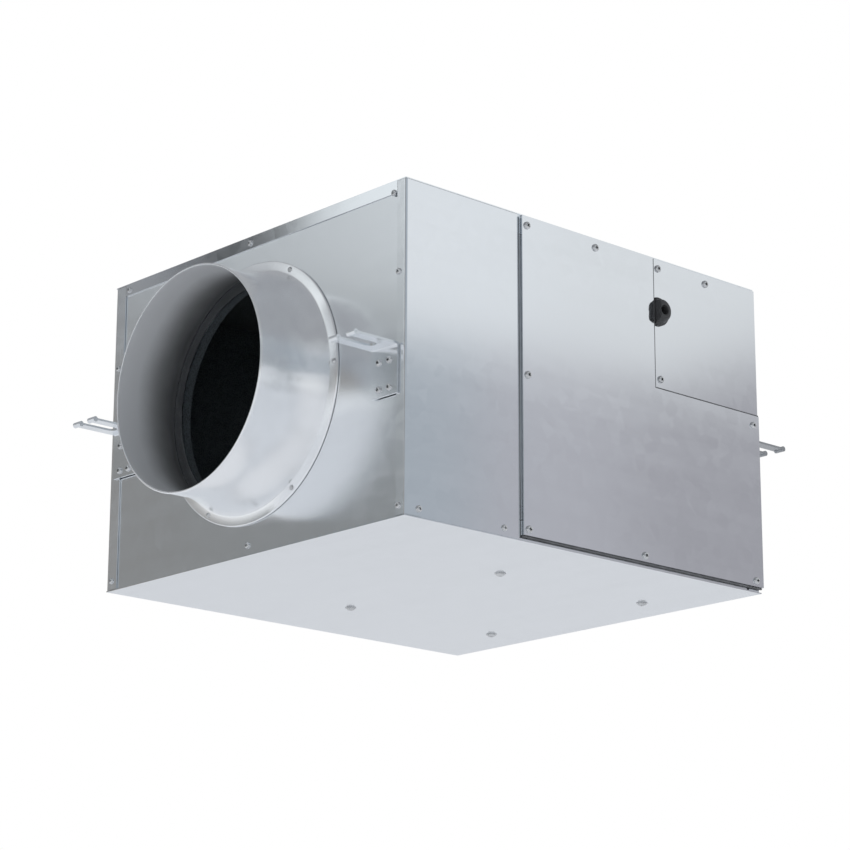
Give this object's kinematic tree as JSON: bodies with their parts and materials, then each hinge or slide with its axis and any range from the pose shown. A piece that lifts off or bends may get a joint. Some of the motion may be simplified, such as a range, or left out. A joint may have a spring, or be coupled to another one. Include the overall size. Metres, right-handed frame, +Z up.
{
  "type": "inline duct fan",
  "caption": "Hung inline duct fan: sheet-steel cabinet with round duct collars, hanger brackets, access panel and a double-inlet blower inside.",
  "frame": {"origin": "centre of the cabinet's underside face", "axes": "+Z up, +X along the duct from the intake collar to the discharge collar, -Y the access and electrical side"},
  "size_m": [0.714, 0.514, 0.3633],
  "materials": {
    "galvanised": "zinc-coated sheet steel, satin, faint spangle",
    "pressed_steel": "drawn or bent zinc-coated steel, slightly brighter than the casing",
    "plated_screw": "zinc-plated fastener",
    "black_rubber": "moulded black rubber, satin",
    "black_lining": "black open-cell acoustic foam with a scrim face",
    "motor_paint": "dark grey motor enamel",
    "bright_steel": "machined or spring steel",
    "core_steel": "laminated core steel and varnished windings",
    "cream_plastic": "moulded terminal block",
    "grey_plastic": "capacitor can",
    "black_cable": "sheathed motor lead"
  },
  "bodies": {
    "root": {"bottom_panel": "galvanised", "top_panel": "galvanised", "rear_side_panel": "galvanised", "front_side_panel": "galvanised", "access_post": "galvanised", "intake_end_panel": "galvanised", "discharge_end_panel": "galvanised", "outlet_partition": "galvanised", "terminal_box": "galvanised", "scroll_wrap": "galvanised", "scroll_side_front": "galvanised", "scroll_side_rear": "galvanised", "blower_foot_front": "galvanised", "blower_foot_rear": "galvanised", "motor_bracket": "galvanised", "intake_collar": "pressed_steel", "discharge_collar": "pressed_steel", "hanger_bracket_intake_front": "pressed_steel", "hanger_bracket_intake_rear": "pressed_steel", "hanger_bracket_discharge_front": "pressed_steel", "hanger_bracket_discharge_rear": "pressed_steel", "inlet_ring_front": "pressed_steel", "inlet_ring_rear": "pressed_steel", "blower_bolt_1": "plated_screw", "blower_bolt_2": "plated_screw", "blower_bolt_3": "plated_screw", "blower_bolt_4": "plated_screw", "lead_grommet": "black_rubber", "lining_top": "black_lining", "lining_rear": "black_lining", "lining_front": "black_lining", "lining_intake": "black_lining", "motor_housing": "motor_paint", "motor_cap_front": "motor_paint", "motor_cap_rear": "motor_paint", "bearing_front": "bright_steel", "bearing_rear": "bright_steel", "capacitor_clip": "bright_steel", "motor_stator": "core_steel", "terminal_block": "cream_plastic", "capacitor": "grey_plastic", "motor_lead": "black_cable"},
    "impeller": {"impeller_wheel": "pressed_steel", "impeller_hub": "bright_steel", "motor_shaft": "bright_steel", "motor_rotor": "core_steel"},
    "access_cover": {"access_panel": "galvanised", "lining_access": "black_lining", "access_screw_1": "plated_screw", "access_screw_2": "plated_screw", "access_screw_3": "plated_screw", "access_screw_4": "plated_screw", "access_screw_5": "plated_screw", "access_screw_6": "plated_screw", "access_screw_7": "plated_screw"},
    "electrical_box_cover": {"electrical_cover": "galvanised", "cable_bush": "black_rubber", "cover_screw_1": "plated_screw", "cover_screw_2": "plated_screw", "cover_screw_3": "plated_screw"}
  },
  "joints": [
    {"name": "impeller_spin", "type": "hinge", "parent": "root", "child": "impeller", "pos_m": [0.075, 0, 0.129], "axis": [0, 1, 0], "continuous": true},
    {"name": "access_panel_off", "type": "slide", "parent": "root", "child": "access_cover", "axis": [0, -1, 0], "range_m": [0, 0.15]},
    {"name": "electrical_cover_off", "type": "slide", "parent": "root", "child": "electrical_box_cover", "axis": [0, -1, 0], "range_m": [0, 0.15]}
  ]
}
